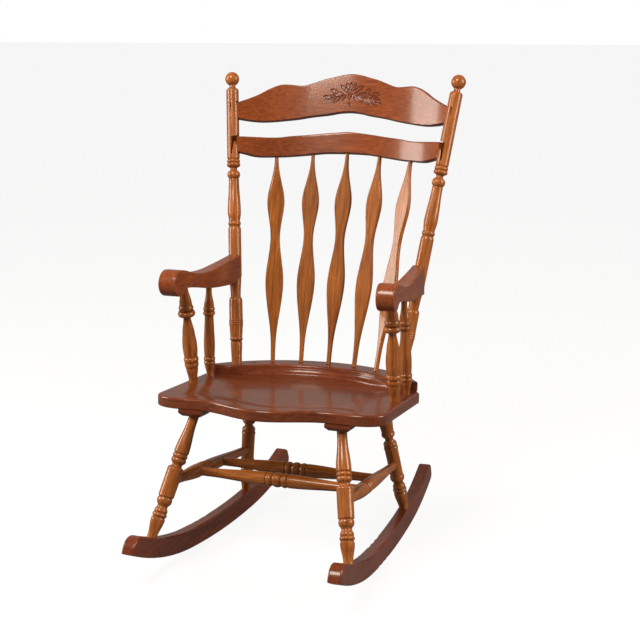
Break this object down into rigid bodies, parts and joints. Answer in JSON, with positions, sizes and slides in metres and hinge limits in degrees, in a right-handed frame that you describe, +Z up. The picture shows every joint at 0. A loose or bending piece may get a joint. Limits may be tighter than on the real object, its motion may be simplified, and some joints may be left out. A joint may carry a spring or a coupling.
{
  "type": "rocking chair",
  "caption": "Turned wooden rocking chair with a tall raked back of arrow-shaped spindles, rolled arms, a shaped plank seat and curved rockers, for one sitter.",
  "frame": {"origin": "on the floor, under the middle of the bounding box", "axes": "+Z up, the chair faces -Y, +X to the right as seen from the front"},
  "size_m": [0.6516, 0.8855, 1.143],
  "materials": {
    "turned_wood": "warm brown stain under gloss lacquer, darker in the turned grooves",
    "board_wood": "darker red-brown stain under gloss lacquer, with fine grain along each board",
    "screw_steel": "plain bright wood screws"
  },
  "bodies": {
    "root": {"left_back_post": "turned_wood", "right_back_post": "turned_wood", "left_front_arm_post": "turned_wood", "right_front_arm_post": "turned_wood", "left_rear_arm_spindle": "turned_wood", "right_rear_arm_spindle": "turned_wood", "left_front_leg": "turned_wood", "right_front_leg": "turned_wood", "left_rear_leg": "turned_wood", "right_rear_leg": "turned_wood", "left_side_stretcher": "turned_wood", "right_side_stretcher": "turned_wood", "front_cross_stretcher": "turned_wood", "rear_cross_stretcher": "turned_wood", "arrow_spindle_1": "turned_wood", "arrow_spindle_2": "turned_wood", "arrow_spindle_3": "turned_wood", "arrow_spindle_4": "turned_wood", "arrow_spindle_5": "turned_wood", "crest_rail": "board_wood", "lower_back_rail": "board_wood", "left_armrest": "board_wood", "right_armrest": "board_wood", "seat": "board_wood", "seat_ledge": "board_wood", "left_front_leg_block": "board_wood", "right_front_leg_block": "board_wood", "left_rocker": "board_wood", "right_rocker": "board_wood", "rocker_plugs": "board_wood", "rocker_screws": "screw_steel", "ledge_screws": "screw_steel", "block_screws": "screw_steel", "arm_screws": "screw_steel"}
  },
  "joints": []
}
